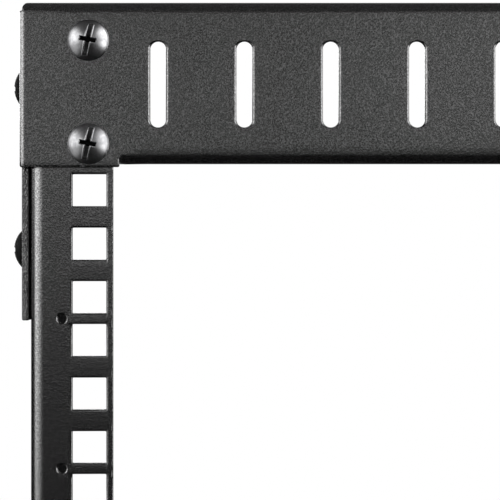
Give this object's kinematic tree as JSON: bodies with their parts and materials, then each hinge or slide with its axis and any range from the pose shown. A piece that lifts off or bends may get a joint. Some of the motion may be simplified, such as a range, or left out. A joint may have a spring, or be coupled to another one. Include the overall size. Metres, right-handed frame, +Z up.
{
  "type": "wall-mount open frame rack",
  "caption": "Two-post open frame that bolts to a wall and carries nineteen-inch equipment between two perforated rails, with slotted front plates and depth arms.",
  "frame": {"origin": "middle of the upper wall bar's back face, on the wall plane", "axes": "+X to the viewer's right facing the rack, +Y into the wall, +Z up"},
  "size_m": [0.506, 0.3, 0.6318],
  "materials": {
    "powder_coat": "fine textured black powder coat on folded steel sheet",
    "screw_steel": "bright dark plated steel of the screws and nuts"
  },
  "bodies": {
    "root": {"rail_left": "powder_coat", "rail_right": "powder_coat", "front_plate_top": "powder_coat", "front_plate_bottom": "powder_coat", "depth_arm_top_left": "powder_coat", "depth_arm_top_right": "powder_coat", "depth_arm_bottom_left": "powder_coat", "depth_arm_bottom_right": "powder_coat", "wall_bar_top": "powder_coat", "wall_bar_bottom": "powder_coat"}
  },
  "joints": []
}
